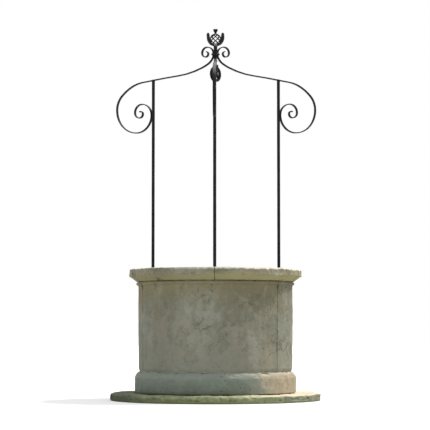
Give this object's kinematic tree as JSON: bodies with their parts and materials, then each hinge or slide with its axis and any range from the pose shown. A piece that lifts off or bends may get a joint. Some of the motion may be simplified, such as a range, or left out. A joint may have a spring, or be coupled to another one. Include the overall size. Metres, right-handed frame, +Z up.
{
  "type": "garden well",
  "caption": "Round stone wellhead on a slab with an open shaft, iron posts carrying scrolled arms, a pierced finial and a hanging pulley that swings, swivels and turns.",
  "frame": {"origin": "on the shaft's axis, in the plane of the slab's underside", "axes": "+Z up; -Y is the front, where the front post and the coping's front joint stand; +X is to the right seen from the front"},
  "size_m": [1.3998, 1.4966, 2.4834],
  "materials": {
    "slab_stone": "weathered limestone with moss",
    "stone": "weathered limestone, lichen and moss stains",
    "mortar": "dark weathered lime mortar",
    "wrought_iron": "black paint on forged bar, satin",
    "worn_iron": "worn bare iron",
    "cast_iron": "dark cast iron, groove worn bright",
    "bronze": "dull bronze",
    "lead": "dull lead"
  },
  "bodies": {
    "root": {"base_slab": "slab_stone", "plinth_stone_1": "stone", "plinth_stone_2": "stone", "wall_stone_1": "stone", "wall_stone_2": "stone", "wall_stone_3": "stone", "coping_stone_1": "stone", "coping_stone_2": "stone", "coping_stone_3": "stone", "coping_stone_4": "stone", "coping_stone_5": "stone", "plinth_mortar": "mortar", "wall_mortar": "mortar", "coping_mortar": "mortar", "post_front": "wrought_iron", "post_right": "wrought_iron", "post_left": "wrought_iron", "post_leads": "lead", "arm_front": "wrought_iron", "arm_right": "wrought_iron", "arm_left": "wrought_iron", "scroll_rivets": "wrought_iron", "stem": "wrought_iron", "arm_collar": "wrought_iron", "neck_bead": "worn_iron", "finial_leaves": "wrought_iron", "finial_ball": "wrought_iron", "finial_tuft": "wrought_iron"},
    "pulley_eye": {"swivel_eye": "wrought_iron"},
    "pulley_block": {"pulley_fork": "wrought_iron", "axle": "worn_iron", "axle_washer": "worn_iron", "split_pin": "worn_iron"},
    "wheel": {"pulley_wheel": "cast_iron", "wheel_bush": "bronze"}
  },
  "joints": [
    {"name": "pulley_swing", "type": "hinge", "parent": "root", "child": "pulley_eye", "pos_m": [0, 0, 2.2663], "axis": [0, 1, 0], "range_deg": [-25, 25]},
    {"name": "pulley_swivel", "type": "hinge", "parent": "pulley_eye", "child": "pulley_block", "pos_m": [0, 0, 2.2393], "axis": [0, 0, 1], "continuous": true},
    {"name": "wheel_spin", "type": "hinge", "parent": "pulley_block", "child": "wheel", "pos_m": [0, 0, 2.1777], "axis": [0.8192, -0.5736, 0], "continuous": true}
  ]
}
